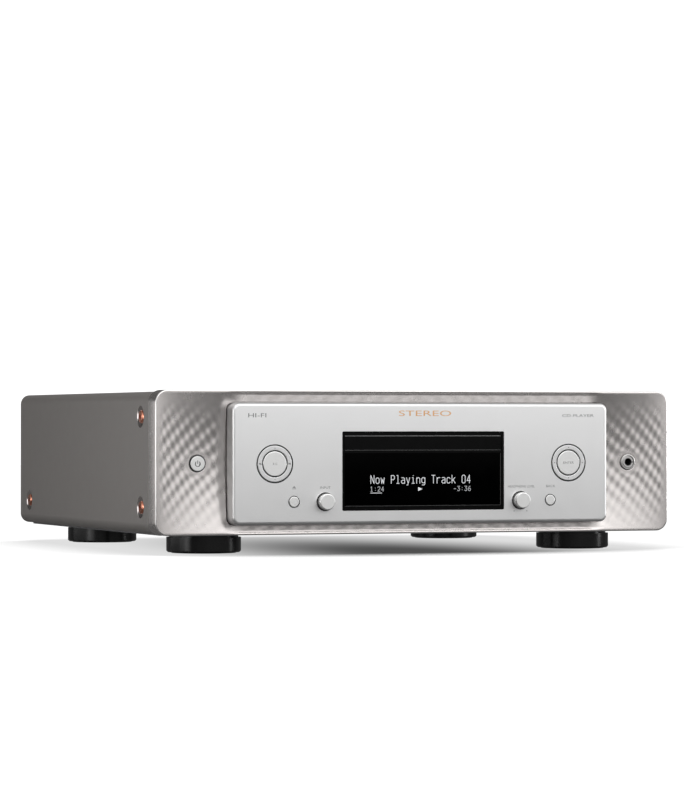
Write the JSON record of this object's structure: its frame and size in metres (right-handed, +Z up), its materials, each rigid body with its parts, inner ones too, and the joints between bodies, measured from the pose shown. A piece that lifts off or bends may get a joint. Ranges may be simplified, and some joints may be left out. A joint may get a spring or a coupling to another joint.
{
  "type": "cd player",
  "caption": "Full-width hi-fi disc player: floating metal front panel on a dished wave-textured baffle, wrap-around cover, sliding disc tray, knobs, rocker rings and round feet.",
  "frame": {"origin": "middle of the bounding box in X and Y, at the floor", "axes": "+X to the player's right as seen from the front, +Y to the rear, +Z up"},
  "size_m": [0.442, 0.428, 0.13],
  "materials": {
    "champagne_paint": "satin metallic champagne-silver with a wave relief",
    "cover_paint": "fine satin metallic paint",
    "panel_aluminium": "fine blasted and anodised",
    "control_aluminium": "turned and anodised",
    "gloss_black": "polished black acrylic",
    "display_glass": "smoked display window",
    "display_parts": "display panel and frame",
    "black_plastic": "fine moulded",
    "loader_plastic": "moulded, light grain",
    "white_plastic": "acetal",
    "foot_black": "satin-gloss black",
    "pad_rubber": "soft pad",
    "belt_rubber": "ground rubber",
    "damper_rubber": "soft",
    "copper_screw": "copper plated",
    "black_screw": "black zinc",
    "copper_plate": "copper plated steel",
    "base_steel": "satin paint",
    "rear_paint": "fine textured paint",
    "steel": "zinc plated",
    "gold_plate": "gold plated",
    "board_green": "solder mask",
    "capacitor_sleeve": "shrink sleeve",
    "winding_tape": "wound tape",
    "cable_grey": "flat cable",
    "lens_glass": "coated lens"
  },
  "bodies": {
    "casing": {"front_baffle": "champagne_paint", "front_panel": "panel_aluminium", "panel_carrier": "black_plastic", "window_bezel": "gloss_black", "display_lens": "display_glass", "display_module": "display_parts", "top_cover": "cover_paint", "side_screws": "copper_screw", "chassis_base": "copper_plate", "bottom_plate": "base_steel", "front_subchassis": "steel", "feet": "foot_black", "foot_pads": "pad_rubber", "case_screws": "black_screw", "rear_panel": "rear_paint", "phono_jacks": "gold_plate", "rear_ports": "black_plastic", "ac_inlet": "black_plastic", "control_boards": "board_green", "tact_switches": "black_plastic", "rotary_controls": "steel", "headphone_jack": "steel", "drive_belt": "belt_rubber", "loading_motor": "steel", "loader_frame": "loader_plastic", "loader_brackets": "copper_plate", "isolation_dampers": "damper_rubber", "clamper_bridge": "steel", "main_board": "board_green", "audio_board": "board_green", "power_board": "board_green", "reservoir_capacitors": "capacitor_sleeve", "transformer": "winding_tape", "transformer_mount": "steel", "ribbon_cables": "cable_grey"},
    "power_button": {"power_button": "control_aluminium"},
    "play_button": {"play_button": "control_aluminium"},
    "enter_button": {"enter_button": "control_aluminium"},
    "transport_ring": {"transport_ring": "control_aluminium"},
    "transport_gimbal": {"transport_gimbal": "black_plastic"},
    "nav_ring": {"nav_ring": "control_aluminium"},
    "nav_gimbal": {"nav_gimbal": "black_plastic"},
    "eject_button": {"eject_button": "control_aluminium"},
    "back_button": {"back_button": "control_aluminium"},
    "input_knob": {"input_knob": "control_aluminium"},
    "level_knob": {"level_knob": "control_aluminium"},
    "tray": {"disc_tray": "loader_plastic", "tray_door": "gloss_black"},
    "loading_gear": {"loading_gear": "white_plastic"},
    "motor_pulley": {"motor_pulley": "white_plastic"},
    "cam_slider": {"cam_slider": "white_plastic"},
    "traverse": {"traverse_frame": "loader_plastic", "guide_rods": "steel", "traverse_motors": "steel"},
    "turntable": {"turntable": "black_plastic"},
    "pickup": {"pickup_sled": "black_plastic"},
    "objective_lens": {"objective_lens": "lens_glass"},
    "sled_gear": {"sled_gear": "white_plastic"},
    "sled_pinion": {"sled_pinion": "white_plastic"},
    "clamper": {"clamper_puck": "loader_plastic"}
  },
  "joints": [
    {"name": "power_press", "type": "slide", "parent": "casing", "child": "power_button", "axis": [0, 1, 0], "range_m": [0, 0.0015], "stiffness_N_per_m": 400, "springref_m": -0.0015},
    {"name": "play_press", "type": "slide", "parent": "casing", "child": "play_button", "axis": [0, 1, 0], "range_m": [0, 0.0012], "stiffness_N_per_m": 400, "springref_m": -0.0015},
    {"name": "enter_press", "type": "slide", "parent": "casing", "child": "enter_button", "axis": [0, 1, 0], "range_m": [0, 0.0012], "stiffness_N_per_m": 400, "springref_m": -0.0015},
    {"name": "eject_press", "type": "slide", "parent": "casing", "child": "eject_button", "axis": [0, 1, 0], "range_m": [0, 0.0012], "stiffness_N_per_m": 400, "springref_m": -0.0015},
    {"name": "back_press", "type": "slide", "parent": "casing", "child": "back_button", "axis": [0, 1, 0], "range_m": [0, 0.0012], "stiffness_N_per_m": 400, "springref_m": -0.0015},
    {"name": "transport_sideways", "type": "hinge", "parent": "casing", "child": "transport_gimbal", "pos_m": [-0.1264, -0.2, 0.0718], "axis": [0, 0, 1], "range_deg": [-1.5, 1.5], "stiffness_Nm_per_rad": 0.4},
    {"name": "transport_up_down", "type": "hinge", "parent": "transport_gimbal", "child": "transport_ring", "pos_m": [-0.1264, -0.2, 0.0718], "axis": [1, 0, 0], "range_deg": [-1.5, 1.5], "stiffness_Nm_per_rad": 0.4},
    {"name": "nav_sideways", "type": "hinge", "parent": "casing", "child": "nav_gimbal", "pos_m": [0.1264, -0.2, 0.0718], "axis": [0, 0, 1], "range_deg": [-1.5, 1.5], "stiffness_Nm_per_rad": 0.4},
    {"name": "nav_up_down", "type": "hinge", "parent": "nav_gimbal", "child": "nav_ring", "pos_m": [0.1264, -0.2, 0.0718], "axis": [1, 0, 0], "range_deg": [-1.5, 1.5], "stiffness_Nm_per_rad": 0.4},
    {"name": "input_turn", "type": "hinge", "parent": "casing", "child": "input_knob", "pos_m": [-0.084, -0.211, 0.0416], "axis": [0, -1, 0], "continuous": true},
    {"name": "level_turn", "type": "hinge", "parent": "casing", "child": "level_knob", "pos_m": [0.084, -0.211, 0.0416], "axis": [0, 1, 0], "range_deg": [0, 300]},
    {"name": "tray_slide", "type": "slide", "parent": "casing", "child": "tray", "axis": [0, -1, 0], "range_m": [0, 0.145]},
    {"name": "loading_gear_turn", "type": "hinge", "parent": "casing", "child": "loading_gear", "pos_m": [-0.046, -0.158, 0.084], "axis": [0, 0, 1], "range_deg": [-2, 835]},
    {"name": "motor_pulley_turn", "type": "hinge", "parent": "casing", "child": "motor_pulley", "pos_m": [0.008, -0.162, 0.078], "axis": [0, 0, 1], "range_deg": [-5, 2810]},
    {"name": "cam_slide", "type": "slide", "parent": "casing", "child": "cam_slider", "axis": [1, 0, 0], "range_m": [0, 0.02]},
    {"name": "traverse_tilt", "type": "hinge", "parent": "casing", "child": "traverse", "pos_m": [0, -0.036, 0.066], "axis": [-1, 0, 0], "range_deg": [0, 4.5]},
    {"name": "turntable_spin", "type": "hinge", "parent": "traverse", "child": "turntable", "pos_m": [0, -0.13159, 0.08255], "axis": [0, -0.0785, 0.9969], "continuous": true},
    {"name": "pickup_slide", "type": "slide", "parent": "traverse", "child": "pickup", "axis": [0, 0.9969, 0.0785], "range_m": [0, 0.035]},
    {"name": "lens_focus", "type": "slide", "parent": "pickup", "child": "objective_lens", "axis": [0, -0.0785, 0.9969], "range_m": [-0.0005, 0.0008], "stiffness_N_per_m": 60},
    {"name": "sled_gear_turn", "type": "hinge", "parent": "traverse", "child": "sled_gear", "pos_m": [-0.027, -0.07451, 0.07099], "axis": [0, -0.0785, 0.9969], "range_deg": [-2, 503]},
    {"name": "sled_pinion_turn", "type": "hinge", "parent": "traverse", "child": "sled_pinion", "pos_m": [-0.027, -0.06139, 0.07002], "axis": [0, -0.0785, 0.9969], "range_deg": [-1675, 5]},
    {"name": "clamper_spin", "type": "hinge", "parent": "casing", "child": "clamper", "pos_m": [0, -0.13, 0.096], "axis": [0, 0, 1], "continuous": true}
  ],
  "couplings": [
    {"joint": "loading_gear_turn", "follows": "tray_slide", "rad_per_m": 100},
    {"joint": "motor_pulley_turn", "follows": "tray_slide", "rad_per_m": 337.5},
    {"joint": "traverse_tilt", "follows": "cam_slide", "rad_per_m": 3.927},
    {"joint": "sled_gear_turn", "follows": "pickup_slide", "rad_per_m": 250},
    {"joint": "sled_pinion_turn", "follows": "pickup_slide", "rad_per_m": -833.33}
  ]
}
